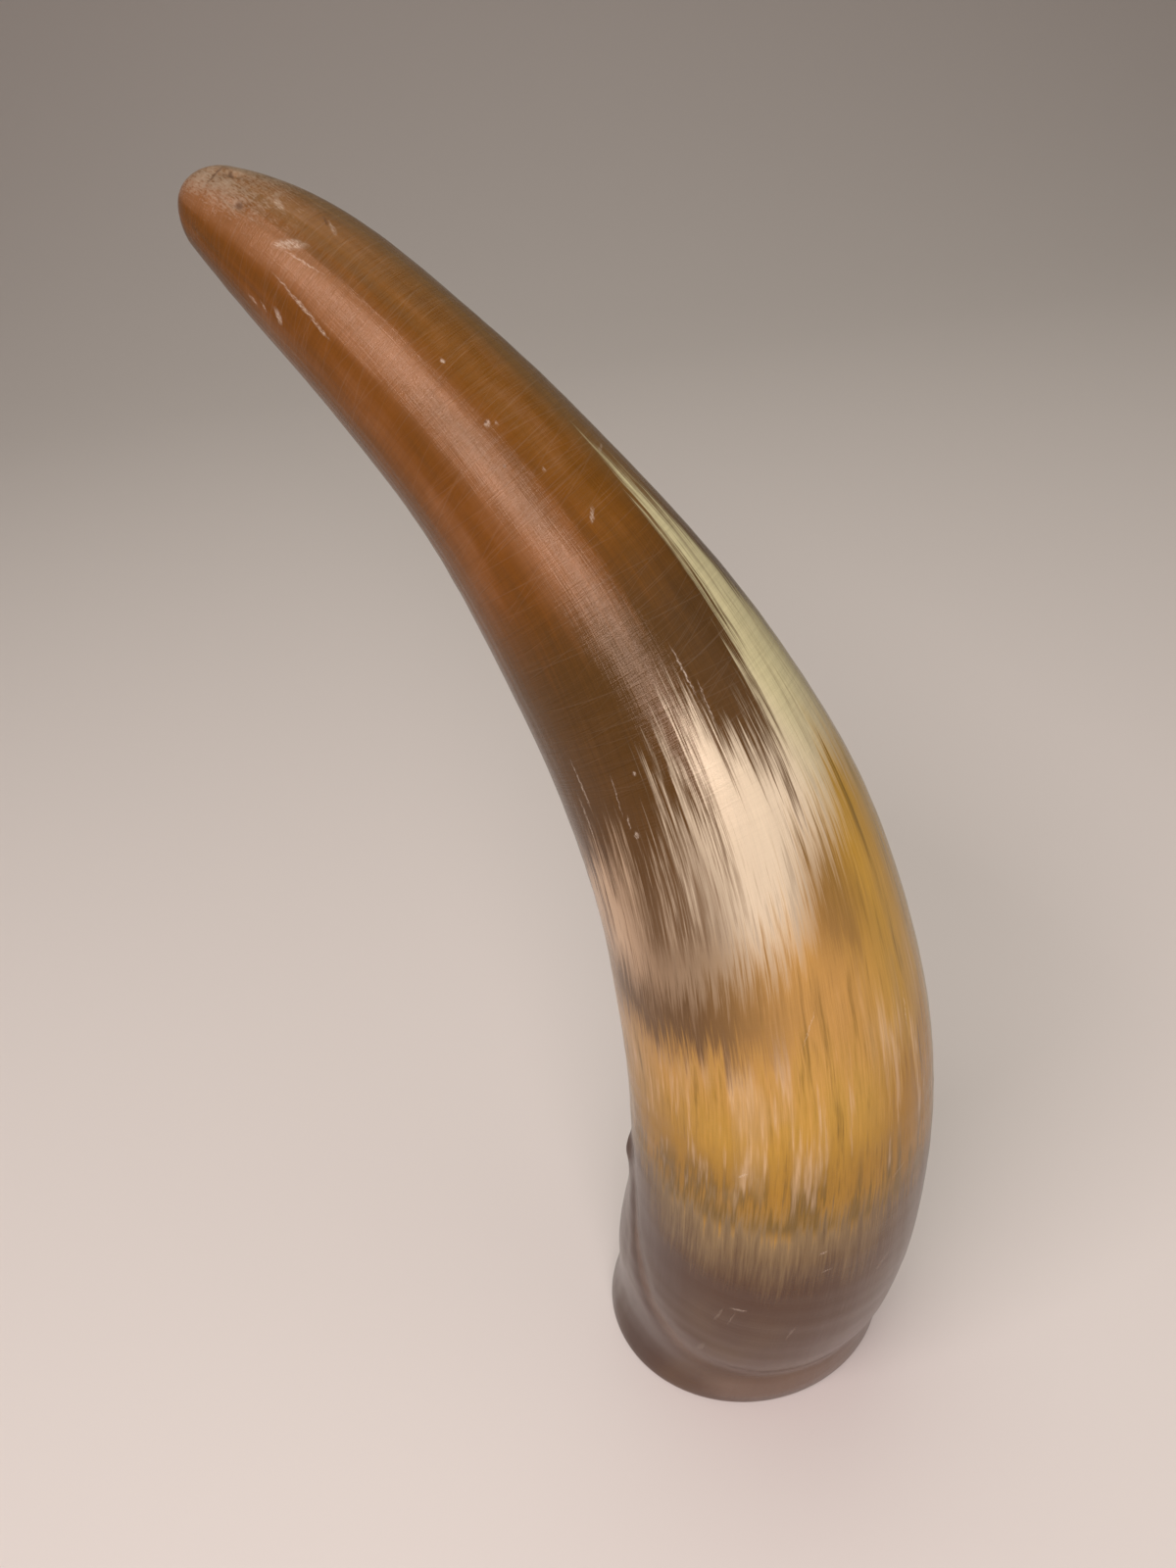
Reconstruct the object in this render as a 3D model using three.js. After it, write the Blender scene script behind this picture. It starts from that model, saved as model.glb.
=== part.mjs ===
// Buffalo horn: one hollow keratin sheath, solid from the end of its core cavity to the tip.
// Millimetres, +Z up. The horn stands on its sawn base, and the origin is on that plane,
// under the centre of the horn's bounding box.

import * as THREE from 'three';

// Driving dimensions.

// Stations along the horn: x, y and height of the axis from the centre of the base, and the
// mean radius there. They steer a cubic B-spline that starts at the first and ends at the last.
const STATIONS = [
  { at: [0, 0, 0], radius: 40 },
  { at: [8.5, -14, 61.5], radius: 40.5 },
  { at: [11.5, -17.5, 118], radius: 39 },
  { at: [7.5, -17, 165.5], radius: 36 },
  { at: [-0.5, -10, 207], radius: 32 },
  { at: [-20, 5.5, 249], radius: 25.5 },
  { at: [-45, 23, 288], radius: 18.5 },
  { at: [-74, 40.5, 320], radius: 15.5 },
  { at: [-96, 58, 332], radius: 6.5 },
];

const OVALNESS = 0.955; // short half-axis of the base over its mean radius; round at the tip
const OVAL_TURN = THREE.MathUtils.degToRad(-80); // direction of that short half-axis from +X
const SQUARED_OVER = 60; // length over which the sections turn from level to square on the axis
const FLARE = 0.05; // how far the sawn rim stands out, as a share of the radius
const FLARE_LENGTH = 11;
const WAIST = 0.015; // how far the shallow neck above the rim is drawn in
const WAIST_HEIGHT = 22;
const WAIST_LENGTH = 12;
const TIP_ROUNDING = 9; // length of the rounded end

const RIM_WALL = 3.5; // wall thickness at the sawn rim
const CAVITY_DEPTH = 225; // along the axis, from the rim to the end of the core cavity
const CAVITY_BULGE = 0.6; // 0.5 is an ellipsoid, 1 a paraboloid

const SIDES = 36;
const RIM_ROWS = 10;
const RIM_LENGTH = 30;
const BODY_ROWS = 40;
const TIP_ROWS = 7;
const CAVITY_ROWS = 20;

// The axis of the horn, a uniform cubic B-spline through the control stations.
class HornAxis extends THREE.Curve {
  constructor(stations) {
    super();
    this.values = stations.map(({ at, radius }) => [...at, radius]);
    this.arcLengthDivisions = 400;
  }

  // x, y, z and radius at parameter t. A station past either end mirrors its neighbour,
  // so that the spline reaches the end station itself.
  sample(t) {
    const last = this.values.length - 1;
    const first = Math.min(Math.floor(t * last), last - 1);
    const u = t * last - first;
    const weights = [(1 - u) ** 3, 3 * u ** 3 - 6 * u ** 2 + 4, 1 + 3 * u + 3 * u ** 2 - 3 * u ** 3, u ** 3];
    const value = (index, k) => {
      if (index < 0) return 2 * this.values[0][k] - this.values[1][k];
      if (index > last) return 2 * this.values[last][k] - this.values[last - 1][k];
      return this.values[index][k];
    };
    return [0, 1, 2, 3].map((k) =>
      weights.reduce((sum, weight, i) => sum + (weight * value(first - 1 + i, k)) / 6, 0),
    );
  }

  getPoint(t, target = new THREE.Vector3()) {
    const [x, y, z] = this.sample(t);
    return target.set(x, y, z);
  }

  radiusAt(share) {
    return this.sample(this.getUtoTmapping(share))[3];
  }
}

const axis = new HornAxis(STATIONS);
const LENGTH = axis.getLength();

const bell = (distance, width) => Math.exp(-((distance / width) ** 2));

// Mean radius of the outside at a distance along the axis.
function outerRadius(along) {
  const left = Math.min((LENGTH - along) / TIP_ROUNDING, 1);
  const rounding = Math.sqrt(Math.max(1 - (1 - left) ** 2, 0));
  const rim = 1 + FLARE * bell(along, FLARE_LENGTH) - WAIST * bell(along - WAIST_HEIGHT, WAIST_LENGTH);
  return axis.radiusAt(along / LENGTH) * rounding * rim;
}

// Mean radius of the core cavity at a distance along the axis.
function cavityRadius(along) {
  const closing = Math.max(1 - (along / CAVITY_DEPTH) ** 2, 0) ** CAVITY_BULGE;
  return (outerRadius(along) - RIM_WALL) * closing;
}

// Sections of the horn at growing distances along the axis. Each has its centre and two unit
// vectors across it, carried along without twist; the lowest section lies level on the ground.
function sections(distances) {
  const across = new THREE.Vector3(1, 0, 0);
  return distances.map((along) => {
    const share = along / LENGTH;
    const turned = THREE.MathUtils.smoothstep(along, 0, SQUARED_OVER);
    const normal = new THREE.Vector3(0, 0, 1).lerp(axis.getTangentAt(share), turned).normalize();
    across.addScaledVector(normal, -across.dot(normal)).normalize();
    return {
      along,
      centre: axis.getPointAt(share),
      across: across.clone(),
      deep: new THREE.Vector3().crossVectors(normal, across),
      oval: 1 + (OVALNESS - 1) * (1 - share) ** 2,
    };
  });
}

// The points around one section at a mean radius.
function ring(section, radius) {
  return Array.from({ length: SIDES }, (_, side) => {
    const angle = (side / SIDES) * 2 * Math.PI;
    const short = radius * section.oval * Math.cos(angle);
    const long = (radius / section.oval) * Math.sin(angle);
    return section.centre
      .clone()
      .addScaledVector(section.across, short * Math.cos(OVAL_TURN) - long * Math.sin(OVAL_TURN))
      .addScaledVector(section.deep, short * Math.sin(OVAL_TURN) + long * Math.cos(OVAL_TURN));
  });
}

const spread = (from, to, count) =>
  Array.from({ length: count }, (_, i) => from + ((to - from) * i) / count);

// Distances of the outer sections: close together at the rim and round the tip.
function outerDistances() {
  const roundFrom = LENGTH - TIP_ROUNDING;
  const tip = spread(0, Math.PI / 2, TIP_ROWS).map((angle) => roundFrom + TIP_ROUNDING * Math.sin(angle));
  return [...spread(0, RIM_LENGTH, RIM_ROWS), ...spread(RIM_LENGTH, roundFrom, BODY_ROWS), ...tip];
}

// Distances of the cavity's sections: close together where it rounds off.
function cavityDistances() {
  return spread(0, Math.PI / 2, CAVITY_ROWS).map((angle) => CAVITY_DEPTH * Math.sin(angle));
}

// One closed surface: outside from the tip down, across the rim, and up the cavity to its end.
function sheathGeometry() {
  const outer = sections(outerDistances()).map((section) => ring(section, outerRadius(section.along)));
  const inner = sections(cavityDistances()).map((section) => ring(section, cavityRadius(section.along)));
  const rings = [...outer.reverse(), ...inner];
  const tip = axis.getPointAt(1);
  const cavityEnd = axis.getPointAt(CAVITY_DEPTH / LENGTH);
  const points = [...rings.flat(), tip, cavityEnd];
  const tipIndex = rings.length * SIDES;
  const endIndex = tipIndex + 1;
  const lastRing = (rings.length - 1) * SIDES;

  const faces = [];
  for (let side = 0; side < SIDES; side += 1) {
    const next = (side + 1) % SIDES;
    faces.push(tipIndex, side, next);
    for (let row = 0; row < rings.length - 1; row += 1) {
      const here = row * SIDES;
      const below = here + SIDES;
      faces.push(here + side, below + side, below + next);
      faces.push(here + side, below + next, here + next);
    }
    faces.push(endIndex, lastRing + next, lastRing + side);
  }

  const geometry = new THREE.BufferGeometry().setFromPoints(points);
  geometry.setIndex(faces);
  geometry.computeVertexNormals();
  geometry.computeBoundingBox();
  const middle = geometry.boundingBox.getCenter(new THREE.Vector3());
  geometry.translate(-middle.x, -middle.y, 0);
  return geometry;
}

const keratin = new THREE.MeshStandardMaterial({ color: 0x96683f, roughness: 0.32, metalness: 0 });
const horn = new THREE.Mesh(sheathGeometry(), keratin);
horn.name = 'horn';

const part = new THREE.Group();
part.add(horn);

export default part;
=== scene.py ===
"""A polished buffalo horn standing on its sawn rim, on a pale studio floor.

The horn is one piece: a curved, tapering, hollow cone with a slightly flared rim and a solid tip.
Lengths of the horn are in millimetres, measured along its axis from the rim, and become metres in
the mesh. Angles around the horn are in degrees, 0 where the horn faces the camera, positive
towards the right hand side, +-180 at the back.
"""

import math

import bpy
import numpy as np
from mathutils import Matrix, Vector


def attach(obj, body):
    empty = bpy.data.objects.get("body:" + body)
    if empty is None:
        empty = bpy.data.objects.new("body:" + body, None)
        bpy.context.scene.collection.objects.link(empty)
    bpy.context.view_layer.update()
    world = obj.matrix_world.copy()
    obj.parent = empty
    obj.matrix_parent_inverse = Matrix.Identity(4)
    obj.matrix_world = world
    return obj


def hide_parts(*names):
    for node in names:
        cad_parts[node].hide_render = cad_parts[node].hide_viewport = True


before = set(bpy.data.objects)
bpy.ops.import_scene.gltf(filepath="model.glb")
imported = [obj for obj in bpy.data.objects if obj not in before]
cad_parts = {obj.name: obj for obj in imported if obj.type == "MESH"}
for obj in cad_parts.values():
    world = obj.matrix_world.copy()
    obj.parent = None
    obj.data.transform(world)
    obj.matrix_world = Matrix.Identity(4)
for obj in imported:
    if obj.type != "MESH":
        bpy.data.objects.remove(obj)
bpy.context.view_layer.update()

MM = 0.001

# ---- form of the horn: stations on the axis, x, y, z and radius, in mm ----
STATIONS = np.array([
    [0.0, 0.0, 0.0, 40.0],
    [8.5, -14.0, 61.5, 40.5],
    [11.5, -17.5, 118.0, 39.0],
    [7.5, -17.0, 165.5, 36.0],
    [-0.5, -10.0, 207.0, 32.0],
    [-20.0, 5.5, 249.0, 25.5],
    [-45.0, 23.0, 288.0, 18.5],
    [-74.0, 40.5, 320.0, 15.5],
    [-96.0, 58.0, 332.0, 6.5],
])
OVALNESS = 0.955  # short half axis of the rim against its mean radius
OVAL_TURN = math.radians(-80)
SQUARED_OVER = 60.0  # the sections turn from level at the rim to square on the axis over this length
FLARE, FLARE_LENGTH = 0.05, 11.0
WAIST, WAIST_HEIGHT, WAIST_LENGTH = 0.015, 22.0, 12.0
TIP_ROUNDING = 9.0
RIM_WALL = 3.5
RIM_BEVEL = 0.8
CAVITY_DEPTH = 225.0
CAVITY_BULGE = 0.6  # power of the cavity's taper; smaller is blunter

# ---- relief of the skin; a row of waves is count, size, turns (low, high), wavelength (low, high) ----
SKIN_SEED, CAVITY_SEED = 7, 11
SKIN_WAVES = (
    (10, 0.22, (1, 4), (50, 160)),  # swells
    (12, 0.055, (5, 12), (25, 90)),
    (26, 0.035, (18, 60), (70, 260)),  # fibres
    (8, 0.030, (0, 3), (7, 16)),  # rings
)
CAVITY_WAVES = ((8, 0.35, (0, 4), (12, 40)), (8, 0.2, (6, 20), (30, 90)))
RIM_CALM, TIP_CALM, CAVITY_CALM = 6.0, 25.0, 8.0  # the relief fades out over these lengths
TIP_RELIEF = 0.3  # share of the relief that stays at the tip
NARROW_CAVITY = 12.0  # below this radius the cavity's relief shrinks with it
TWIST_HEIGHTS = (0.0, 110.0, 175.0, 265.0, 390.0)
TWIST_DEGREES = (0.0, 4.0, 12.0, 34.0, 44.0)  # how far the fibres have turned at those heights

# ---- fineness of the mesh ----
SIDES = 240
ROW_STEP = 1.35
TIP_ZONE = 8.0  # the rows close up from this far below the tip's rounding
TIP_ROWS = 26
CAVITY_ROWS = 44
BEVEL_ROWS = 5
RIM_ROWS = 3  # between the outer and the inner edge of the rim
AXIS_SAMPLES = 4001
FACING = math.radians(-90)  # direction, in a section, that faces the camera


# ---------------------------------------------------------------------------------------- shape
def spline(t, slope=False):
    """Uniform cubic B-spline through the first and last station; x, y, z, radius at each t.

    With slope, the four values' rates of change instead.
    """
    last = len(STATIONS) - 1
    s = np.clip(np.asarray(t) * last, 0, last - 1e-9)
    i = s.astype(int)
    u = (s - i)[:, None]
    before, after = 2 * STATIONS[0] - STATIONS[1], 2 * STATIONS[-1] - STATIONS[-2]
    points = np.vstack([before, STATIONS, after])
    if slope:
        weights = (-((1 - u) ** 2) / 2, (3 * u * u - 4 * u) / 2,
                   (-3 * u * u + 2 * u + 1) / 2, u * u / 2)
    else:
        cube = u**3
        weights = ((1 - u) ** 3 / 6, (3 * cube - 6 * u * u + 4) / 6,
                   (1 + 3 * u + 3 * u * u - 3 * cube) / 6, cube / 6)
    return sum(w * points[i + k] for k, w in enumerate(weights))


class Axis:
    """The curved axis, read by length from the rim, with the section's own directions."""

    def __init__(self):
        self.t = np.linspace(0, 1, AXIS_SAMPLES)
        self.points = spline(self.t)[:, :3]
        steps = np.linalg.norm(np.diff(self.points, axis=0), axis=1)
        self.length_at = np.concatenate([[0.0], np.cumsum(steps)])
        self.length = self.length_at[-1]
        tangent = spline(self.t, slope=True)[:, :3]
        tangent /= np.linalg.norm(tangent, axis=1)[:, None]
        turn = np.clip(self.length_at / SQUARED_OVER, 0, 1)
        turn = (turn * turn * (3 - 2 * turn))[:, None]
        normal = np.array([0.0, 0.0, 1.0]) * (1 - turn) + tangent * turn
        self.normal = normal / np.linalg.norm(normal, axis=1)[:, None]
        self.across = np.zeros_like(self.normal)
        across = np.array([1.0, 0.0, 0.0])
        for i, n in enumerate(self.normal):
            across = across - n * (across @ n)
            across = across / np.linalg.norm(across)
            self.across[i] = across

    def read(self, table, along):
        """Three columns of a table with a row for each sample, at these lengths."""
        return np.stack([np.interp(along, self.length_at, table[:, k]) for k in range(3)], axis=1)

    def sections(self, along):
        """Centre, and the two directions in the section, at these lengths."""
        centre = self.read(self.points, along)
        normal = self.read(self.normal, along)
        normal /= np.linalg.norm(normal, axis=1)[:, None]
        across = self.read(self.across, along)
        across -= normal * (across * normal).sum(axis=1)[:, None]
        across /= np.linalg.norm(across, axis=1)[:, None]
        return centre, across, np.cross(normal, across)

    def radius(self, along):
        """Outer radius, with the flare and waist at the rim and the rounded tip."""
        mean = spline(np.interp(along, self.length_at, self.t))[:, 3]
        left = np.minimum((self.length - along) / TIP_ROUNDING, 1)
        cap = np.sqrt(np.clip(1 - (1 - left) ** 2, 0, None))
        flare = FLARE * np.exp(-((along / FLARE_LENGTH) ** 2))
        waist = WAIST * np.exp(-(((along - WAIST_HEIGHT) / WAIST_LENGTH) ** 2))
        return mean * cap * (1 + flare - waist)

    def cavity_radius(self, along):
        """Radius of the core cavity, down to 0 at its end."""
        taper = np.clip(1 - (along / CAVITY_DEPTH) ** 2, 0, None) ** CAVITY_BULGE
        return (self.radius(along) - RIM_WALL) * taper


def rounded_edge(along):
    """How far the corner of the rim is cut back at this height."""
    left = np.clip((RIM_BEVEL - along) / RIM_BEVEL, 0, 1)
    return RIM_BEVEL * (1 - np.sqrt(1 - left**2))


def waves(rng, along, around, rows):
    """Sum of smooth waves over the skin. A row is count, size, turns (low, high), wavelength."""
    total = np.zeros((len(along), len(around)))
    for count, size, turns, wavelength in rows:
        for _ in range(count):
            m = int(rng.integers(turns[0], turns[1] + 1))
            w = 2 * math.pi / rng.uniform(*wavelength)
            phase = rng.uniform(0, 2 * math.pi, 2)
            lift = size * rng.uniform(0.5, 1.0) / math.sqrt(count)
            total += lift * np.cos(m * around[None] + phase[0] + w * along[:, None] + phase[1])
    return total


# Dents and nicks: along, angle around, depth, half size along, half size across. A negative depth
# is a low swelling: the first is the base's left lobe, the second the crescent at the outline.
DENTS = (
    (40, -97, -2.0, 24, 17),
    (92, -96, -1.5, 7.5, 2.2),
    (10, 88, 0.9, 12, 16),
    (363.5, 14, 0.75, 1.3, 1.1),
    (370.5, 45, 0.95, 1.6, 1.0),
    (374, 30, 0.35, 2.2, 3.0),
    (366, -4, 0.25, 2.0, 2.4),
    (358, 33, -0.30, 5.0, 4.5),
    (371, 8, -0.25, 3.5, 3.5),
    (376, -35, 0.30, 3.5, 3.0),
    (352, -38, 0.22, 3.0, 1.3),
    (350, 62, 0.25, 5.0, 3.0),
    (345, -35, 0.18, 1.6, 0.8),
    (315, 24, 0.16, 0.8, 0.6),
    (301, 18, 0.16, 1.3, 0.8),
    (330, 150, 0.30, 4.0, 3.0),
    (240, -150, 0.25, 6.0, 4.0),
    (120, 130, 0.30, 7.0, 5.0),
)

# Concave line above the collar: angle around, height along the horn, depth, half width. Where the
# depth is negative the line is a low ridge.
NECK = (
    (-180, 62, 0.4, 10),
    (-130, 88, 0.5, 9),
    (-100, 102, 0.5, 9),
    (-86, 90, 0.5, 9),
    (-76, 66, 0.5, 8),
    (-60, 44, 0.5, 7),
    (-35, 30, 0.5, 6.5),
    (-8, 23, 0.6, 5.5),
    (25, 21, 0.6, 5.5),
    (50, 25, 0.4, 6),
    (74, 30, -0.65, 9),
    (110, 36, -0.4, 9),
    (180, 62, 0.4, 10),
)
# The lip under the line: its share of the depth, and its place and width in half widths.
LIP_SHARE, LIP_BELOW, LIP_SPREAD = 0.45, 1.9, 1.3


def neck(along, around):
    """How deep the concave line above the collar is, in mm."""
    angle, height, depth, width = np.array(NECK, float).T
    at = np.interp(around, angle, height)[None]
    down = np.interp(around, angle, depth)[None]
    half = np.interp(around, angle, width)[None]
    gap = (along[:, None] - at) / half
    lip = np.exp(-(((gap + LIP_BELOW) / LIP_SPREAD) ** 2))
    return down * (np.exp(-(gap**2)) - LIP_SHARE * lip)


def outer_relief(axis, along, theta, radius):
    """Heights of the skin over the plain form, in mm."""
    lift = waves(np.random.default_rng(SKIN_SEED), along, theta, SKIN_WAVES)
    tip_fade = np.clip((axis.length - along) / TIP_CALM, 0, 1)[:, None]
    rim_fade = np.clip(along / RIM_CALM, 0, 1)[:, None]
    lift *= rim_fade * (TIP_RELIEF + (1 - TIP_RELIEF) * tip_fade)
    around = np.degrees(np.angle(np.exp(1j * (theta - FACING))))
    for at, angle, depth, half_along, half_across in DENTS:
        gap = (around - angle + 180) % 360 - 180
        reach_a = ((along - at) / half_along)[:, None] ** 2
        reach_t = (np.radians(gap)[None] * radius[:, None] / half_across) ** 2
        lift -= depth * np.exp(-(reach_a + reach_t))
    return lift - neck(along, around) * rim_fade


def ring_points(axis, along, theta, radius):
    """Points of oval sections, along x theta x 3; radius is along x theta."""
    centre, across, deep = axis.sections(along)
    oval = 1 + (OVALNESS - 1) * (1 - along / axis.length) ** 2
    turned = theta[None] - OVAL_TURN
    x = radius * oval[:, None] * np.cos(turned)
    y = radius / oval[:, None] * np.sin(turned)
    c, s = math.cos(OVAL_TURN), math.sin(OVAL_TURN)
    sideways = (x * c - y * s)[..., None] * across[:, None]
    return centre[:, None] + sideways + (x * s + y * c)[..., None] * deep[:, None]


def twist(along):
    """How far the fibres have turned around the horn, in degrees, at each height."""
    return np.interp(along, TWIST_HEIGHTS, TWIST_DEGREES)


def outer_skin(axis, theta, bevel):
    """Lengths, plain radii and points of the rows from the rim to the tip."""
    body = np.arange(RIM_BEVEL + ROW_STEP, axis.length - TIP_ROUNDING - TIP_ZONE, ROW_STEP)
    turn = np.linspace(0, math.pi / 2, TIP_ROWS + 1)[1:-1]
    tip = body[-1] + (axis.length - body[-1]) * np.sin(turn)
    along = np.concatenate([bevel, body, tip])
    radius = axis.radius(along)
    shape = (radius - rounded_edge(along))[:, None]
    shape = shape + outer_relief(axis, along, theta, radius)
    return along, radius, ring_points(axis, along, theta, shape)


def cavity_skin(axis, theta, bevel):
    """Lengths and points of the rows from the rim to the end of the cavity."""
    along = CAVITY_DEPTH * (1 - np.cos(np.linspace(0, math.pi / 2, CAVITY_ROWS)))
    along = np.concatenate([bevel, along[along > 2 * RIM_BEVEL]])[:-1]
    radius = (axis.cavity_radius(along) + rounded_edge(along))[:, None]
    rings = waves(np.random.default_rng(CAVITY_SEED), along, theta, CAVITY_WAVES)
    fade = np.clip((along - RIM_BEVEL) / CAVITY_CALM, 0, 1)[:, None]
    fade = fade * np.clip(radius / NARROW_CAVITY, 0, 1)
    return along, ring_points(axis, along, theta, radius + rings * fade)


def skin_faces(rows):
    """Quads between the rows, and a fan of triangles at each end."""
    a = np.arange(rows * SIDES).reshape(rows, SIDES)
    b = np.roll(a, -1, axis=1)
    quads = np.stack([a[:-1], a[1:], b[1:], b[:-1]], axis=-1).reshape(-1, 4)
    tip, end = rows * SIDES, rows * SIDES + 1
    fans = [(tip, a[0, i], b[0, i]) for i in range(SIDES)]
    fans += [(end, b[-1, i], a[-1, i]) for i in range(SIDES)]
    return quads.tolist() + fans


def build_horn():
    """The outer skin, the rim and the cavity as one closed mesh."""
    axis = Axis()
    theta = np.linspace(0, 2 * math.pi, SIDES, endpoint=False)
    bevel = RIM_BEVEL * (1 - np.cos(np.linspace(0, math.pi / 2, BEVEL_ROWS)))
    outer_along, radius, outer = outer_skin(axis, theta, bevel)
    inner_along, inner = cavity_skin(axis, theta, bevel)
    inwards = np.linspace(0, 1, RIM_ROWS + 2)[1:-1]
    step = inwards[:, None, None]
    rim = outer[0][None] * (1 - step) + inner[0][None] * step
    chain = np.concatenate([outer[::-1], rim, inner])
    cavity_end = axis.read(axis.points, np.array([CAVITY_DEPTH]))[0]
    verts = np.concatenate([chain.reshape(-1, 3), [axis.points[-1], cavity_end]])
    faces = skin_faces(len(chain))

    mesh = bpy.data.meshes.new("horn_skin")
    mesh.from_pydata(((verts - box_centre(axis)) * MM).tolist(), [], faces)
    mesh.polygons.foreach_set("use_smooth", [True] * len(faces))
    along = np.concatenate([outer_along[::-1], np.zeros(RIM_ROWS), inner_along])
    inside = np.concatenate([np.zeros(len(outer_along)), inwards, np.ones(len(inner_along))])
    girth = [radius[::-1], np.full(RIM_ROWS, radius[0]), axis.radius(inner_along)]
    add_skin_data(mesh, axis, theta, along, inside, np.concatenate(girth))
    mesh.update()
    horn = bpy.data.objects.new("horn_polished", mesh)
    bpy.context.scene.collection.objects.link(horn)
    return horn


def box_centre(axis):
    """Middle of the plain form's box in x and y, which stands on the frame's origin."""
    tip_start = axis.length - 10
    tip = axis.length - 10 * np.linspace(1, 0, 60) ** 2  # closer rows where the tip rounds off
    along = np.concatenate([np.linspace(0, tip_start, 400), tip])
    theta = np.linspace(0, 2 * math.pi, 360, endpoint=False)
    radius = np.repeat(axis.radius(along)[:, None], len(theta), axis=1)
    points = ring_points(axis, along, theta, radius).reshape(-1, 3)
    middle = (points.min(axis=0) + points.max(axis=0)) / 2
    return np.array([middle[0], middle[1], 0.0])


def add_skin_data(mesh, axis, theta, along, inside, girth):
    """What the material reads at each point.

    facing is the direction around the horn, 0 degrees along its x; grain is the same turned with
    the fibres; skin is the length along the horn, how far inside the rim, and the radius.
    """
    around = theta - FACING
    fibre = around[None] - np.radians(twist(along))[:, None]
    rows, sides = fibre.shape
    facing = np.zeros((rows, sides, 3))
    facing[..., 0] = np.cos(around)[None]
    facing[..., 1] = np.sin(around)[None]
    grain = np.zeros((rows, sides, 3))
    grain[..., 0] = np.cos(fibre)
    grain[..., 1] = np.sin(fibre)
    skin = np.zeros((rows, sides, 3))
    skin[..., 0] = along[:, None]
    skin[..., 1] = inside[:, None]
    skin[..., 2] = girth[:, None]
    # the last two points are the tip and the end of the cavity, which face no direction
    centred = [[0.0, 0.0, 0.0], [0.0, 0.0, 0.0]]
    end_skin = [[axis.length, 0.0, 1.0], [CAVITY_DEPTH, 1.0, 1.0]]
    for name, data, ends in (("facing", facing, centred), ("grain", grain, centred),
                             ("skin", skin, end_skin)):
        values = np.concatenate([data.reshape(-1, 3), np.array(ends)])
        attribute = mesh.attributes.new(name, "FLOAT_VECTOR", "POINT")
        attribute.data.foreach_set("vector", values.ravel().astype(np.float32))


# ------------------------------------------------------------------------------------- material
def tone(red, green, blue):
    """Linear colour from the display values 0 to 255."""
    def linear(value):
        value = value / 255
        return value / 12.92 if value <= 0.04045 else ((value + 0.055) / 1.055) ** 2.4
    return (linear(red), linear(green), linear(blue), 1.0)


# Colours of the horn's own substance, except that the collar's pale grey is a painted highlight and the
# pale pink amber also paints the highlight down the amber's front.
RIM_BROWN = tone(72, 44, 26)
BASE_BROWN = tone(64, 32, 2)
BASE_PLUM = tone(60, 34, 24)
TAUPE = tone(144, 118, 78)
PAINTED_HIGHLIGHT_GREY = tone(130, 106, 92)
OLIVE_DARK = tone(88, 66, 12)
GOLD = tone(182, 140, 58)
GOLD_DEEP = tone(156, 109, 18)
TAN = tone(180, 134, 74)
TAN_PALE = tone(196, 160, 112)
PATCH_BROWN = tone(90, 64, 38)
CREAM = tone(214, 194, 168)
CREAM_PINK = tone(198, 166, 136)
CREAM_GREEN = tone(206, 194, 152)
OLIVE_PALE = tone(150, 132, 82)
DARK_BROWN = tone(78, 52, 24)
AMBER = tone(110, 64, 22)
AMBER_DEEP = tone(110, 66, 14)
AMBER_PINK_AND_HIGHLIGHT = tone(152, 106, 76)
OLIVE_BROWN = tone(108, 82, 50)
FROST = tone(176, 156, 138)
SCRATCH_WHITE = tone(214, 196, 180)
PIT_BROWN = tone(66, 38, 22)
CAVITY_GREY = tone(96, 82, 66)


NOISE_SPREAD = 3.2  # brings the noise's own range to about -1 to 1


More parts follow.
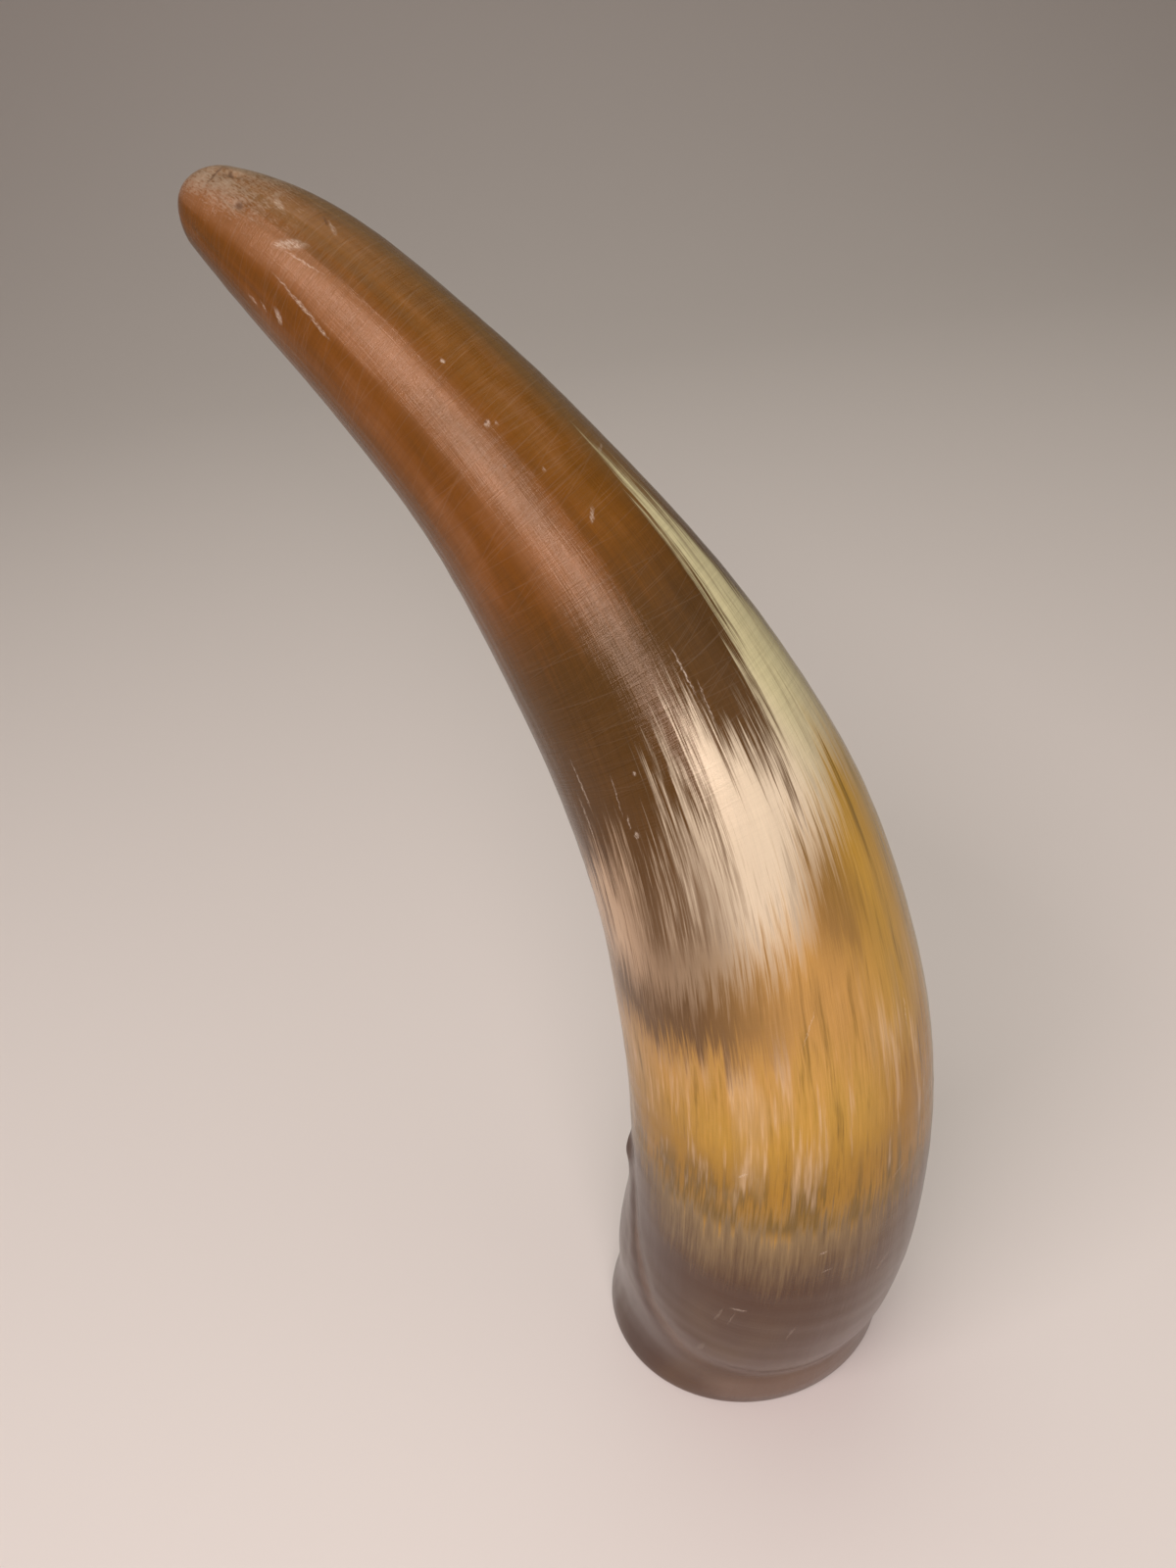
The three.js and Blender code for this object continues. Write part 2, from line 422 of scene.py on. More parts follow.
class Graph:
    """Short names for the material nodes that the skin uses."""

    def __init__(self, material):
        self.tree = material.node_tree

    def node(self, kind, **settings):
        made = self.tree.nodes.new(kind)
        for name, value in settings.items():
            setattr(made, name, value)
        return made

    def put(self, socket, value):
        """Link the value to the socket, or set it when it is a plain number or colour."""
        if isinstance(value, bpy.types.NodeSocket):
            self.tree.links.new(value, socket)
        else:
            socket.default_value = value

    def math(self, operation, a, b):
        made = self.node("ShaderNodeMath", operation=operation)
        self.put(made.inputs[0], a)
        self.put(made.inputs[1], b)
        return made.outputs[0]

    def times(self, first, *others):
        for other in others:
            first = self.math("MULTIPLY", first, other)
        return first

    def plus(self, a, b):
        return self.math("ADD", a, b)

    def most(self, first, *others):
        for other in others:
            first = self.math("MAXIMUM", first, other)
        return first

    def step(self, value, low, high):
        """0 below low, 1 above high, smooth between; low may be the larger."""
        made = self.node("ShaderNodeMapRange", interpolation_type="SMOOTHSTEP", clamp=True)
        if low > high:
            low, high = high, low
            made.inputs["To Min"].default_value = 1.0
            made.inputs["To Max"].default_value = 0.0
        self.put(made.inputs["Value"], value)
        made.inputs["From Min"].default_value = low
        made.inputs["From Max"].default_value = high
        return made.outputs["Result"]

    def band(self, value, start, full, end, gone):
        """1 from full to end, fading to 0 at start and gone."""
        return self.times(self.step(value, start, full), self.step(value, gone, end))

    def scaled(self, vector, factors, offset=0.0):
        """The vector times three factors, plus an offset on every axis."""
        made = self.node("ShaderNodeVectorMath", operation="MULTIPLY_ADD")
        self.put(made.inputs[0], vector)
        made.inputs[1].default_value = factors
        made.inputs[2].default_value = (offset, offset, offset)
        return made.outputs[0]

    def noise(self, vector, factors, detail=2.0, rough=0.5, offset=0.0, flat=False):
        """Noise of the vector after it is scaled, centred on 0 and about -1 to 1."""
        made = self.node("ShaderNodeTexNoise", noise_dimensions="2D" if flat else "3D")
        self.put(made.inputs["Vector"], self.scaled(vector, factors, offset))
        made.inputs["Scale"].default_value = 1.0
        made.inputs["Detail"].default_value = detail
        made.inputs["Roughness"].default_value = rough
        centred = self.math("SUBTRACT", made.outputs["Fac"], 0.5)
        return self.times(centred, NOISE_SPREAD)

    def mix(self, factor, a, b):
        """Colour a where the factor is 0, colour b where it is 1."""
        made = self.node("ShaderNodeMix", data_type="RGBA", clamp_factor=True)
        self.put(made.inputs[0], factor)
        self.put(made.inputs[6], a)
        self.put(made.inputs[7], b)
        return made.outputs[2]

    def shade(self, colour, factor):
        """The colour times a number."""
        made = self.node("ShaderNodeVectorMath", operation="SCALE")
        self.put(made.inputs[0], colour)
        self.put(made.inputs["Scale"], factor)
        return made.outputs[0]

    def curve(self, value, points):
        """A smooth curve through points of (value, result), level beyond its ends."""
        xs, ys = zip(*points)
        x0, x1, y0, y1 = xs[0], xs[-1], min(ys), max(ys)
        spread = self.node("ShaderNodeMapRange", clamp=True)
        self.put(spread.inputs["Value"], value)
        spread.inputs["From Min"].default_value = x0
        spread.inputs["From Max"].default_value = x1
        made = self.node("ShaderNodeFloatCurve")
        line = made.mapping.curves[0]
        places = [((x - x0) / (x1 - x0), (y - y0) / (y1 - y0)) for x, y in points]
        line.points[0].location = places[0]
        for place in places[1:-1]:
            line.points.new(*place)
        line.points[-1].location = places[-1]
        made.mapping.update()
        self.put(made.inputs["Value"], spread.outputs["Result"])
        return self.plus(self.times(made.outputs[0], y1 - y0), y0)


MIDDLE_RADIUS = 30.0


class Skin:
    """Coordinates and noises over the horn's skin, shared by all its markings."""

    def __init__(self, g):
        self.g = g
        facing = g.node("ShaderNodeAttribute", attribute_name="facing")
        grain = g.node("ShaderNodeAttribute", attribute_name="grain")
        skin = g.node("ShaderNodeAttribute", attribute_name="skin")
        parts = g.node("ShaderNodeSeparateXYZ")
        g.put(parts.inputs[0], skin.outputs["Vector"])
        self.along, self.inside, girth = parts.outputs
        turn = g.node("ShaderNodeSeparateXYZ")
        g.put(turn.inputs[0], facing.outputs["Vector"])
        angle = g.math("ARCTAN2", turn.outputs["Y"], turn.outputs["X"])
        self.around = g.times(angle, 180 / math.pi)
        arc = g.times(angle, girth)
        flat = g.node("ShaderNodeCombineXYZ")
        g.put(flat.inputs["X"], self.along)
        g.put(flat.inputs["Y"], arc)
        self.flat = flat.outputs[0]  # length along, arc length around, in mm

        # noise coordinates, in mm at a middle girth: along the fibres, and straight up the horn
        self.fibre = self.with_length(grain, MIDDLE_RADIUS)
        self.round = self.with_length(facing, MIDDLE_RADIUS)
        # streaks from the finest to the widest, all much longer than wide; cloud is a soft mottle
        self.fine = g.noise(self.fibre, (2.2, 2.2, 0.06), 3.0, 0.7)
        self.strand = g.noise(self.fibre, (0.75, 0.75, 0.035), 3.0, 0.65, 3.0)
        self.lock = g.noise(self.fibre, (0.24, 0.24, 0.028), 2.0, 0.5, 5.0)
        self.cloud = g.noise(self.fibre, (0.06, 0.06, 0.035), 3.0, 0.55, 9.0)
        # how far an edge between two colours is moved at each fibre
        self.ragged = g.plus(g.times(self.strand, 0.6), g.times(self.lock, 0.45))
        self.ragged = g.plus(self.ragged, g.times(self.fine, 0.7))

    def with_length(self, attribute, radius):
        """Direction around the horn times a radius, with the length along it as z."""
        g = self.g
        around = g.scaled(attribute.outputs["Vector"], (radius, radius, 0.0))
        height = g.node("ShaderNodeCombineXYZ")
        g.put(height.inputs["Z"], self.along)
        made = g.node("ShaderNodeVectorMath", operation="ADD")
        g.put(made.inputs[0], around)
        g.put(made.inputs[1], height.outputs[0])
        return made.outputs[0]

    def above(self, height, softness, ragged):
        """1 above a height, 0 below, with an edge that breaks up along the fibres.

        The height is a number or, for an edge that rises and falls, a curve's output; softness and
        ragged are the edge's blur and its breaking up, in mm.
        """
        g = self.g
        moved = g.plus(self.along, g.times(self.ragged, ragged))
        if isinstance(height, bpy.types.NodeSocket):
            return g.step(g.math("SUBTRACT", moved, height), -softness / 2, softness / 2)
        return g.step(moved, height - softness / 2, height + softness / 2)


# Heights in mm along the horn at which one colour gives way to the next.
TAUPE_FROM, GOLD_FROM, TAN_FROM, AMBER_FROM = 98, 112, 154, 264
# Lower edges of the cream band and of the dark shoulder: angle around, height along the horn.
CREAM_EDGE = (
    (-180, 200), (-120, 192), (-62, 184), (-25, 186), (0, 189), (14, 193), (28, 203), (45, 207),
    (70, 216), (110, 214), (150, 206), (180, 200),
)
SHOULDER_EDGE = (
    (-180, 224), (-120, 212), (-65, 208), (-48, 213), (-30, 210), (-12, 219), (0, 222), (12, 234),
    (22, 223), (30, 220), (40, 230), (48, 240), (56, 261), (63, 277), (71, 262), (81, 244),
    (120, 236), (180, 224),
)
# Height of the painted highlight line on the ridge beside the collar's line at each angle; only its
# left part shows.
RIDGE_HIGHLIGHT_LINE = tuple(row[:2] for row in NECK if row[0] < 0) + ((0, 22), (180, 22))


# In the functions below, a step or band of skin.along takes heights in mm, one of skin.around takes
# degrees, and one of the noises takes their -1 to 1; the number times a mask is its strength.
def base_colour(g, skin):
    """Brown foot of the horn, plum at the left and the rim, with a painted highlight on the collar and
    a painted highlight line along its ridge.
    """
    colour = g.mix(g.step(skin.along, 44, 14), BASE_BROWN, RIM_BROWN)
    left = g.times(g.step(skin.around, -34, -62), g.step(skin.around, -178, -120))
    colour = g.mix(g.times(left, 0.8), colour, BASE_PLUM)
    paler = g.times(g.step(skin.cloud, -0.2, 0.9), 0.1)
    colour = g.mix(paler, colour, TAUPE)
    # painted highlight: a pale grey band on the collar's upper slope, towards the front
    collar = g.times(g.band(skin.along, 1, 7, 13, 26), g.band(skin.around, -34, -14, 14, 60))
    colour = g.mix(g.times(collar, 0.42), colour, PAINTED_HIGHLIGHT_GREY)
    # painted highlight: a pale line along the ridge beside the collar's line, on the left
    gap = g.math("SUBTRACT", skin.along, g.curve(skin.around, RIDGE_HIGHLIGHT_LINE))
    line = g.times(g.band(gap, -9, -1, 1, 7), g.band(skin.around, -98, -84, -48, -24))
    return g.mix(g.times(line, 0.34), colour, PAINTED_HIGHLIGHT_GREY)


def gold_colour(g, skin):
    """Gold, deeper at both sides, towards its lower edge and in soft clouds."""
    gold = g.mix(g.band(skin.around, 22, 44, 100, 150), GOLD, GOLD_DEEP)
    gold = g.mix(g.times(g.step(skin.around, -22, -58), 0.6), gold, GOLD_DEEP)
    gold = g.mix(g.times(g.step(skin.along, 154, 120), 0.8), gold, GOLD_DEEP)
    return g.mix(g.times(g.step(skin.cloud, -0.2, 0.9), 0.6), gold, GOLD_DEEP)


def honey_colour(g, skin, below):
    """Taupe, olive, gold and tan bands, each streaked along the fibres."""
    taupe = g.shade(TAUPE[:3], g.plus(1.0, g.times(skin.strand, 0.1)))
    front = g.times(g.step(skin.around, 68, -5), g.step(skin.around, -85, -50))
    back = g.most(g.step(skin.around, 90, 150), g.step(skin.around, -110, -150))
    rising = g.times(skin.above(TAUPE_FROM, 40, 11), g.most(front, g.times(back, 0.75)))
    colour = g.mix(g.times(rising, 0.9), below, taupe)
    gold = gold_colour(g, skin)
    colour = g.mix(skin.above(GOLD_FROM, 14, 12), colour, gold)

    # olive fringe at the lower edge of the gold
    broken = g.plus(g.plus(skin.strand, g.times(skin.fine, 0.6)), g.times(skin.lock, 0.9))
    fringe = g.times(g.band(skin.along, 105, 112, 119, 142), g.step(broken, -0.5, 0.45))
    colour = g.mix(g.times(fringe, 0.85), colour, OLIVE_DARK)
    tan = g.mix(g.step(skin.around, 20, 50), TAN, GOLD)
    tan = g.mix(g.times(g.step(skin.around, -45, -70), 0.4), tan, CREAM_PINK)
    colour = g.mix(g.times(skin.above(TAN_FROM, 34, 18), 0.85), colour, tan)

    # pale and dark streaks, with wider beige patches between them
    bundle = g.plus(skin.strand, g.times(skin.lock, 0.8))
    pale = g.times(g.step(bundle, 0.15, 0.9), g.band(skin.along, 106, 124, 160, 182))
    colour = g.mix(g.times(pale, 0.5), colour, CREAM_PINK)
    beige = g.step(g.plus(g.times(skin.cloud, 0.6), g.times(skin.lock, 0.6)), 0.05, 0.75)
    beige = g.times(beige, g.times(g.band(skin.along, 112, 126, 158, 180), 0.45))
    colour = g.mix(beige, colour, TAN_PALE)
    brown = g.times(g.step(bundle, -0.2, -1.0), g.step(skin.along, 100, 116))
    colour = g.mix(g.times(brown, 0.55), colour, OLIVE_DARK)
    edge = g.band(skin.around, 60, 78, 110, 160)
    return g.mix(g.times(edge, g.times(g.step(skin.along, 112, 132), 0.5)), colour, OLIVE_PALE)


def cream_colour(g, skin, below):
    """The ragged cream band, and the dark patches under its edge."""
    height = g.plus(skin.along, g.times(skin.ragged, 13.0))
    patch = g.times(g.band(height, 160, 174, 186, 206), g.band(skin.around, -100, -62, -34, 22))
    dusk = g.times(g.band(height, 176, 190, 200, 216), g.band(skin.around, 12, 28, 32, 50))
    below = g.mix(g.times(g.most(patch, g.times(dusk, 0.55)), 0.95), below, PATCH_BROWN)
    lower_edge = g.curve(skin.around, CREAM_EDGE)

    # pinker to the left, the pale green stripe and the olive edge to the right
    cream = g.mix(g.step(skin.around, -10, -52), CREAM, CREAM_PINK)
    stripe = g.times(g.band(skin.around, 30, 52, 120, 165), g.step(skin.along, 195, 235))
    cream = g.mix(stripe, cream, CREAM_GREEN)
    edge = g.times(g.step(skin.around, 66, 84), g.step(skin.around, 150, 110))
    cream = g.mix(g.times(edge, 0.85), cream, OLIVE_PALE)

    # the dark gap in the band at the left, and the thin brown lines all over it
    shadowed = g.times(g.band(skin.around, -58, -38, -22, 4), g.step(skin.ragged, -1.2, 0.2))
    dark = g.times(shadowed, g.band(skin.along, 172, 198, 222, 240))
    cream = g.mix(g.times(dark, 0.95), cream, PATCH_BROWN)
    bundle = g.plus(g.plus(skin.fine, g.times(skin.strand, 0.9)), g.times(skin.lock, 0.6))
    hatch = g.plus(0.45, g.times(g.step(skin.around, 14, -40), 0.14))
    lines = g.plus(g.times(g.step(bundle, 0.0, 0.75), 0.6), g.times(g.step(bundle, -0.8, 1.4), 0.5))
    cream = g.mix(g.times(lines, hatch), cream, PATCH_BROWN)
    return g.mix(skin.above(lower_edge, 19, 13), below, cream)


def amber_colour(g, skin, below):
    """Dark brown shoulder and the amber point above the cream, with a painted highlight down its front.
    """
    lower_edge = g.curve(skin.around, SHOULDER_EDGE)
    amber = g.mix(g.step(skin.around, 10, 34), AMBER, AMBER_DEEP)
    # painted highlight: a pale pink band down the amber's front, where the key light's highlight runs;
    # the pink mottle below is the horn's own colour
    painted_highlight = g.band(skin.around, -20, -6, 8, 22)
    amber = g.mix(g.times(painted_highlight, 0.35), amber, AMBER_PINK_AND_HIGHLIGHT)
    mottled = g.plus(skin.cloud, g.times(skin.lock, 0.4))
    amber = g.mix(g.times(g.step(mottled, -0.2, 1.1), 0.4), amber, AMBER_PINK_AND_HIGHLIGHT)
    amber = g.mix(g.times(g.step(mottled, 0.2, -1.0), 0.5), amber, DARK_BROWN)
    amber = g.mix(g.times(g.step(skin.around, -36, -62), 0.5), amber, DARK_BROWN)
    amber = g.mix(g.times(g.band(skin.around, 42, 68, 110, 150), 0.8), amber, OLIVE_BROWN)
    colour = g.mix(skin.above(AMBER_FROM, 30, 6), DARK_BROWN, amber)
    return g.mix(skin.above(lower_edge, 20, 19), below, colour)


# Marks in the polish: along, angle around, length, width, turn from the axis in degrees, strength.
# Scuffs and scratches are pale.
SCUFFS = (
    (345, -36, 3.4, 1.3, 35, 1.0),
    (349, -40, 2.5, 0.5, 25, 0.7),
    (346, -14, 7.0, 0.5, 8, 0.6),
    (341, -16, 8.5, 0.9, 6, 0.8),
    (336, -18, 5.5, 0.6, 5, 0.8),
    (352, 6, 1.4, 0.8, 20, 1.0),
    (350, 12, 7.0, 2.2, -40, 0.75),
    (346, 8, 9.0, 0.5, -10, 0.6),
    (357, 34, 3.5, 1.6, 20, 0.6),
    (352, -44, 3.0, 0.8, 10, 0.6),
    (347, 45, 4.0, 1.0, 30, 0.5),
    (315, 24, 1.3, 0.8, 0, 1.0),
    (301, 18, 1.6, 1.0, 60, 0.8),
    (300, 22, 0.9, 0.6, 10, 0.6),
    (293, 10, 1.0, 0.8, 0, 0.4),
    (288, 25, 1.0, 0.7, 0, 0.5),
    (276, 29, 3.2, 0.9, 40, 0.8),
    (285, 65, 3.5, 0.8, 70, 0.5),
    (243, 20, 10.0, 0.45, 4, 1.0),
    (236, 21, 9.0, 0.35, 8, 0.7),
    (231, -18, 1.0, 0.9, 0, 0.9),
    (228, -30, 9.0, 0.35, 14, 0.6),
    (222, -30, 3.2, 0.5, 20, 0.8),
    (219, -29, 1.6, 1.1, 40, 0.9),
    (232, -46, 13.0, 0.5, 9, 0.7),
    (224, -52, 12.0, 0.7, 10, 0.6),
    (170, 8, 9.0, 0.35, 30, 0.5),
    (160, 49, 9.0, 0.5, 3, 0.6),
    (135, 55, 5.0, 1.6, 15, 0.45),
    (130, -23, 3.2, 0.9, 50, 0.6),
    (118, 36, 5.0, 0.8, 70, 0.35),
    (100, 5, 2.4, 0.9, 60, 0.55),
    (92, 7, 3.0, 0.5, 70, 0.6),
    (72, -23, 4.6, 0.9, 78, 0.8),
    (66, -30, 9.0, 0.8, 12, 0.3),
    (66, -25, 8.0, 0.5, 12, 0.25),
    (62, -2, 8.0, 0.9, 14, 0.25),
    (84, 32, 7.0, 2.2, 40, 0.25),
    (40, -34, 9.0, 1.8, 10, 0.22),
)
# Pits, the nick at the tip, cracks and the crescent at the left outline are dark.
PITS = (
    (92, -96, 17.0, 4.5, 0, 1.0),
    (363.5, 14, 2.2, 1.8, 0, 0.9),
    (371, 45, 3.0, 1.2, 30, 1.0),
    (374, 40, 7.0, 0.7, 75, 0.8),
    (349, 47, 3.0, 0.6, 30, 0.7),
    (301.5, 18, 0.8, 0.5, 0, 0.8),
    (293, 10, 1.0, 0.7, 0, 0.6),
    (231, -19, 0.6, 0.5, 0, 0.7),
)
SCUFF_WOBBLE, PIT_WOBBLE = 0.9, 0.6  # how far a mark's outline strays, in mm


def marks(g, skin, rows, wobble, solid=False):
    """Strongest of a list of small marks at each point, 0 to 1.

    Unless it is solid, a mark is broken up into short strokes along the horn.
    """
    total = 0.0
    # the flat coordinates, shaken by a noise of about 1 mm so that the outlines are uneven
    shaken = g.node("ShaderNodeVectorMath", operation="ADD")
    rough = g.node("ShaderNodeTexNoise")
    g.put(rough.inputs["Vector"], skin.flat)
    rough.inputs["Scale"].default_value = 1.1
    rough.inputs["Detail"].default_value = 3.0
    g.put(shaken.inputs[0], skin.flat)
    g.put(shaken.inputs[1], g.scaled(rough.outputs["Color"], (wobble, wobble, 0.0)))
    radius_at = Axis().radius
    for along, angle, length, width, turn, strength in rows:
        arc = math.radians(angle) * float(radius_at(np.array([along]))[0])
        place = g.node("ShaderNodeMapping", vector_type="TEXTURE")
        g.put(place.inputs["Vector"], shaken.outputs[0])
        place.inputs["Location"].default_value = (along + wobble / 2, arc + wobble / 2, 0)
        place.inputs["Rotation"].default_value = (0, 0, math.radians(turn))
        place.inputs["Scale"].default_value = (length / 2, width / 2, 1)
        size = g.node("ShaderNodeVectorMath", operation="LENGTH")
        g.put(size.inputs[0], place.outputs[0])
        shown = g.times(g.step(size.outputs["Value"], 1.3, 0.35), strength)
        total = shown if isinstance(total, float) else g.most(total, shown)
    if solid:
        return total
    strokes = g.noise(skin.flat, (1.1, 4.5, 0.0), 3.0, 0.75, 20.0, flat=True)
    return g.times(total, g.plus(0.12, g.times(g.step(strokes, -0.45, 0.5), 0.88)))


def sanding(g, skin):
    """Fine scratches around the horn, strongest on its upper half, -1 to 1."""
    even = g.noise(skin.round, (0.03, 0.03, 1.7), 3.0, 0.75, 1.0)
    slanted = g.noise(skin.fibre, (0.04, 0.04, 1.1), 3.0, 0.75, 2.0)
    return g.plus(g.times(even, 0.7), g.times(slanted, 0.5))


# Sets of long scratches: turn from the axis in degrees, offset of their noise, strength.
HAIRLINES = ((85, 0.0, 0.8), (98, 4.0, 0.6), (72, 8.0, 0.5))


def hairlines(g, skin):
    """A sparse net of long hair-thin scratches, 0 to 1."""
    total = 0.0
    for turn, offset, weight in HAIRLINES:
        place = g.node("ShaderNodeMapping", vector_type="TEXTURE")
        g.put(place.inputs["Vector"], skin.flat)
        place.inputs["Rotation"].default_value = (0, 0, math.radians(turn))
        lines = g.noise(place.outputs[0], (0.016, 2.4, 0.0), 1.0, 0.5, offset, flat=True)
        shown = g.times(g.step(lines, 0.62, 0.85), weight)
        total = shown if isinstance(total, float) else g.most(total, shown)
    return total


def frosting(g, skin):
    """Grey-white rubbed skin at the very point, broken into short strokes, 0 to 1."""
    strokes = g.noise(skin.flat, (0.7, 2.4, 0.0), 4.0, 0.75, 6.0, flat=True)
    patches = g.noise(skin.flat, (0.20, 0.16, 0.0), 3.0, 0.6, 7.0, flat=True)
    where = g.step(skin.along, 350, 374)
    side = g.band(skin.around, -22, 22, 70, 110)
    amount = g.plus(g.times(strokes, 0.8), g.times(patches, 0.4))
    amount = g.plus(amount, g.plus(g.times(where, 0.7), g.times(side, 0.9)))
    return g.times(g.step(amount, 0.8, 2.1), g.step(skin.along, 344, 362))


POLISH_ROUGHNESS, POLISH_IOR, POLISH_LEVEL = 0.205, 1.45, 0.46
POLISH_TINT = (1.0, 0.72, 0.57, 1.0)
BUMP_STRENGTH, BUMP_HEIGHT = 0.3, 0.3 * MM


def keratin_material():
    """Polished horn: its grown colours, its wear, its polish and its finest relief."""
    material = bpy.data.materials.new("keratin_polished")
    material.use_nodes = True
    g = Graph(material)
    skin = Skin(g)
    colour = base_colour(g, skin)
    colour = honey_colour(g, skin, colour)
    colour = cream_colour(g, skin, colour)
    colour = amber_colour(g, skin, colour)

    # light and dark fibres, strongest in the middle, and the sanding, strongest in the upper half
    streaky = g.plus(g.times(skin.strand, 0.14), g.times(skin.fine, 0.18))
    streaky = g.times(streaky, g.plus(0.2, g.times(g.band(skin.along, 95, 118, 235, 270), 0.8)))
    streaky = g.plus(streaky, 1.0)
    colour = g.shade(colour, streaky)
    sanded = sanding(g, skin)
    upper = g.step(skin.along, 200, 245)
    colour = g.shade(colour, g.plus(1.0, g.times(sanded, g.plus(g.times(upper, 0.13), 0.02))))

    # wear: hair-thin scratches, the rubbed tip, scuffs and pits; then the cavity's own skin
    scratches = g.times(hairlines(g, skin), g.plus(g.times(upper, 0.032), 0.012))
    colour = g.mix(scratches, colour, SCRATCH_WHITE)
    frost = frosting(g, skin)
    colour = g.mix(g.times(frost, 0.48), colour, FROST)
    scuffs = marks(g, skin, SCUFFS, SCUFF_WOBBLE)
    colour = g.mix(g.times(scuffs, 0.6), colour, SCRATCH_WHITE)
    pits = marks(g, skin, PITS, PIT_WOBBLE, solid=True)
    colour = g.mix(g.times(pits, 0.7), colour, PIT_BROWN)
    cavity = g.shade(CAVITY_GREY[:3], g.plus(1.0, g.times(skin.cloud, 0.3)))
    colour = g.mix(skin.inside, colour, cavity)

    # polish, duller where the skin is worn and in the cavity
    shader = material.node_tree.nodes["Principled BSDF"]
    g.put(shader.inputs["Base Color"], colour)
    dull = g.plus(g.times(frost, 0.25), g.times(g.most(scuffs, pits), 0.2))
    dull = g.plus(dull, g.times(skin.cloud, 0.03))
    dull = g.plus(dull, g.times(skin.inside, 0.35))
    g.put(shader.inputs["Roughness"], g.plus(dull, POLISH_ROUGHNESS))
    shader.inputs["IOR"].default_value = POLISH_IOR
    shader.inputs["Specular IOR Level"].default_value = POLISH_LEVEL
    shader.inputs["Specular Tint"].default_value = POLISH_TINT

    # only the fine streaks and the sanding are raised: a richer height overflows the shader's stack
    relief = g.plus(g.times(skin.fine, 0.25), g.times(sanded, g.plus(g.times(upper, 0.65), 0.15)))
    bump = g.node("ShaderNodeBump")
    bump.inputs["Strength"].default_value = BUMP_STRENGTH
    bump.inputs["Distance"].default_value = BUMP_HEIGHT
    g.put(bump.inputs["Height"], relief)
    g.put(shader.inputs["Normal"], bump.outputs[0])
    return material


# ---------------------------------------------------------------------------------------- stage
def plain_material(name, colour, roughness):
    material = bpy.data.materials.new(name)
    material.use_nodes = True
    shader = material.node_tree.nodes["Principled BSDF"]
    shader.inputs["Base Color"].default_value = colour
    shader.inputs["Roughness"].default_value = roughness
    return material


# Floor, in metres: half width, front and back of the level part, radius of the sweep, height.
FLOOR_REACH, FLOOR_FRONT, FLOOR_BACK, SWEEP, BACKDROP_TOP = 12.0, -10.0, 1.1, 2.2, 4.5
FLOOR_COLOUR, FLOOR_ROUGHNESS = (0.77, 0.675, 0.65, 1.0), 0.45


def build_floor():
    """Floor that sweeps up into a backdrop well behind the horn."""
    profile = [(FLOOR_FRONT, 0.0), (FLOOR_BACK, 0.0)]
    for turn in np.radians(np.linspace(4, 90, 24)):
        profile.append((FLOOR_BACK + SWEEP * math.sin(turn), SWEEP * (1 - math.cos(turn))))
    profile.append((FLOOR_BACK + SWEEP, BACKDROP_TOP))
    verts = [(x, float(y), float(z)) for y, z in profile for x in (-FLOOR_REACH, FLOOR_REACH)]
    faces = [(2 * i, 2 * i + 1, 2 * i + 3, 2 * i + 2) for i in range(len(profile) - 1)]
    mesh = bpy.data.meshes.new("studio_floor")
    mesh.from_pydata(verts, [], faces)
    mesh.polygons.foreach_set("use_smooth", [True] * len(faces))
    floor = bpy.data.objects.new("studio_floor", mesh)
    bpy.context.scene.collection.objects.link(floor)
    mesh.materials.append(plain_material("floor_white", FLOOR_COLOUR, FLOOR_ROUGHNESS))


# Soft lights, in metres: name, aim point, direction from it, distance, size, watts, colour, and
# the direction that the size's first side lies along. The key is long and narrow, and lies along
# the horn, for the highlight that runs up its amber part.
HORN_MIDDLE = (-0.01, 0.01, 0.25)
SOFTBOXES = (
    ("key", HORN_MIDDLE, (-0.225, -0.775, 0.605), 1.25, (1.9, 0.30), 22.0, (1.0, 0.94, 0.93),
     (-0.604, 0.597, 0.335)),
    ("fill", HORN_MIDDLE, (0.82, -0.50, 0.42), 1.4, (1.1, 1.1), 2.0, (1.0, 0.95, 0.90), (0, 0, 1)),
    ("overhead", (0, 0.35, 0), (0, 0.02, 1), 1.7, (1.6, 1.4), 8.0, (0.87, 1.0, 0.87), (1, 0, 0)),
)
AIR_COLOUR, AIR_STRENGTH = (0.40, 0.365, 0.315, 1.0), 0.3


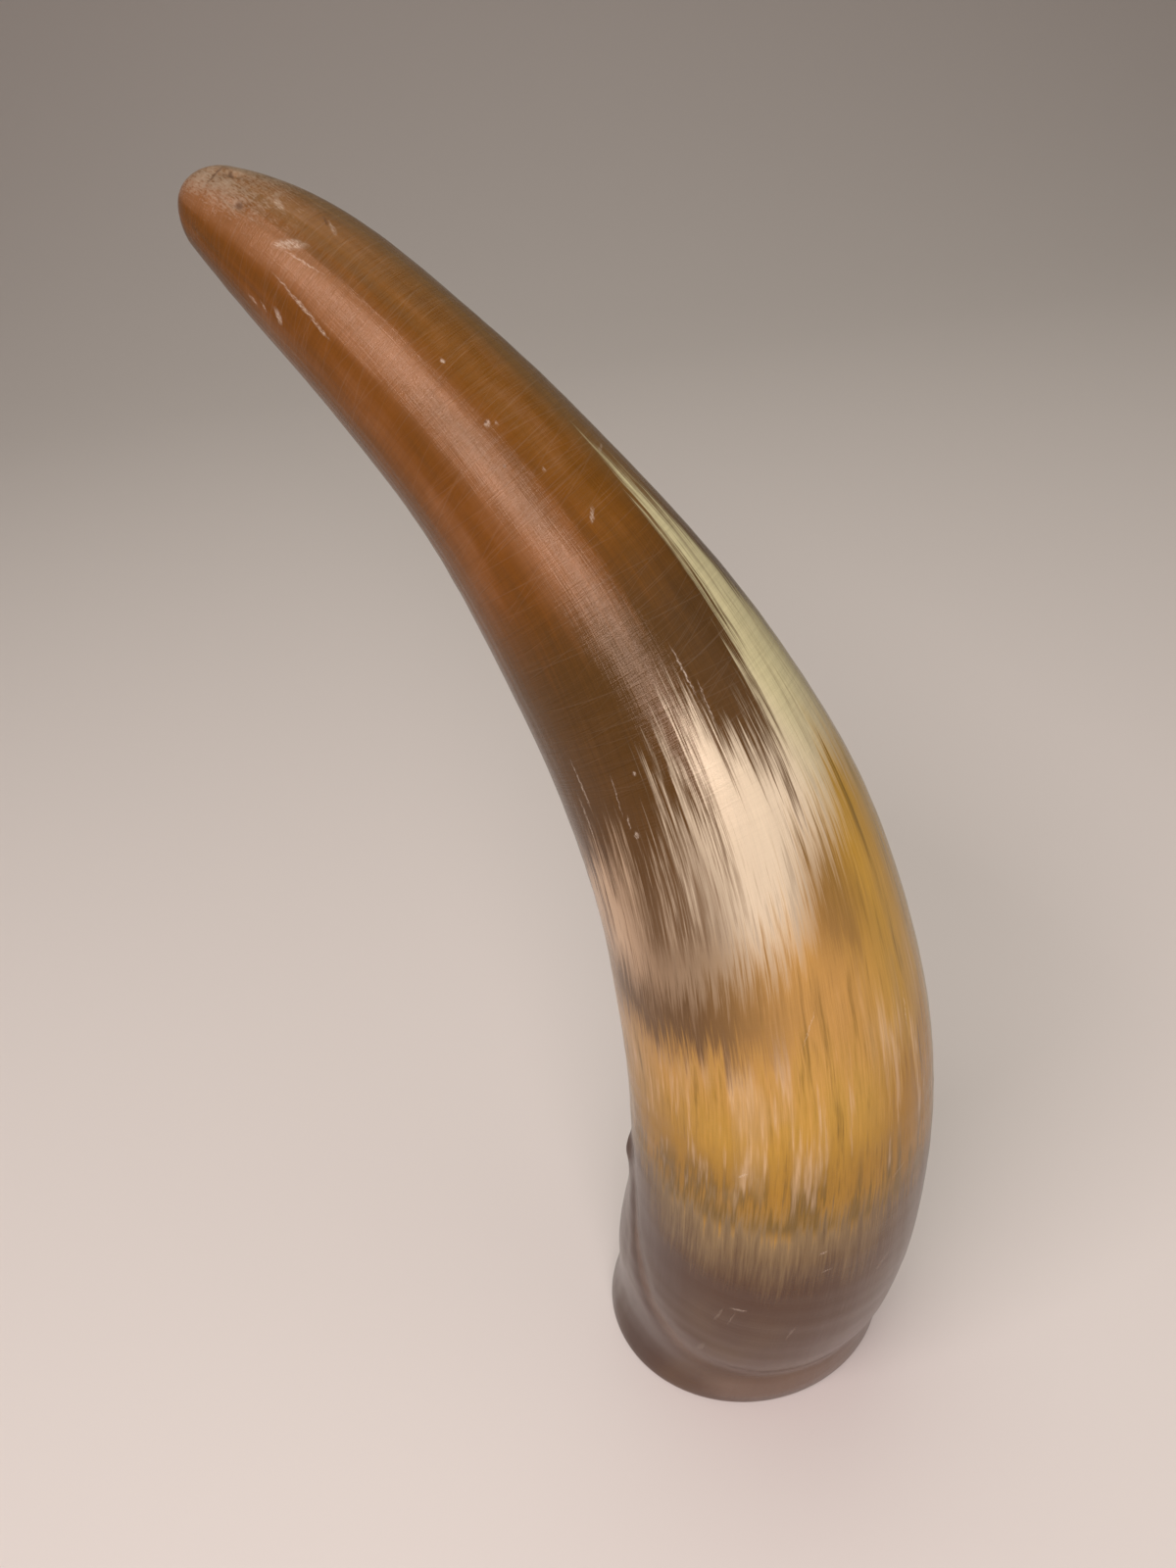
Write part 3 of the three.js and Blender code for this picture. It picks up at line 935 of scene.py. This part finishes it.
def place_facing(thing, side, up, back, place):
    """Turn a light or camera so that it looks against back, at a place."""
    matrix = Matrix((side, up, back)).transposed().to_4x4()
    matrix.translation = place
    thing.matrix_world = matrix


def add_softbox(name, aim, direction, distance, size, watts, colour, long_axis):
    light = bpy.data.lights.new(name, "AREA")
    light.shape = "RECTANGLE"
    light.size, light.size_y = size
    light.energy = watts
    light.color = colour
    lamp = bpy.data.objects.new(name, light)
    back = Vector(direction).normalized()
    side = Vector(long_axis)
    side = (side - back * side.dot(back)).normalized()
    place_facing(lamp, side, back.cross(side), back, Vector(aim) + back * distance)
    lamp.visible_camera = False
    bpy.context.scene.collection.objects.link(lamp)


def build_light():
    for softbox in SOFTBOXES:
        add_softbox(*softbox)
    world = bpy.data.worlds.new("studio")
    world.use_nodes = True
    air = world.node_tree.nodes["Background"]
    air.inputs["Color"].default_value = AIR_COLOUR
    air.inputs["Strength"].default_value = AIR_STRENGTH
    bpy.context.scene.world = world


# The camera, solved from the photo: place in metres, look down and roll in degrees, lens in mm.
CAMERA_PLACE = (-0.0054, -0.2261, 0.364)
CAMERA_DOWN, CAMERA_ROLL = 35, -7.7
LENS, SENSOR_HEIGHT = 27.045, 36.0


def build_camera():
    """The photographer's view: from the front and above, looking down, slightly rolled."""
    down, roll = math.radians(CAMERA_DOWN), math.radians(CAMERA_ROLL)
    view = Vector((0, math.cos(down), -math.sin(down)))
    level_up = Vector((0, math.sin(down), math.cos(down)))
    level_right = Vector((1, 0, 0))
    right = math.cos(roll) * level_right + math.sin(roll) * level_up
    up = -math.sin(roll) * level_right + math.cos(roll) * level_up
    lens = bpy.data.cameras.new("camera")
    lens.sensor_fit = "VERTICAL"
    lens.sensor_height = SENSOR_HEIGHT
    lens.lens = LENS
    lens.clip_start = 0.01
    camera = bpy.data.objects.new("camera", lens)
    place_facing(camera, right, up, -view, Vector(CAMERA_PLACE))
    bpy.context.scene.collection.objects.link(camera)
    bpy.context.scene.camera = camera


def main():
    build_camera()
    build_floor()
    build_light()
    horn = build_horn()
    horn.data.materials.append(keratin_material())
    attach(horn, "root")
    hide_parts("horn")
    bpy.context.scene.view_settings.view_transform = "Standard"


main()
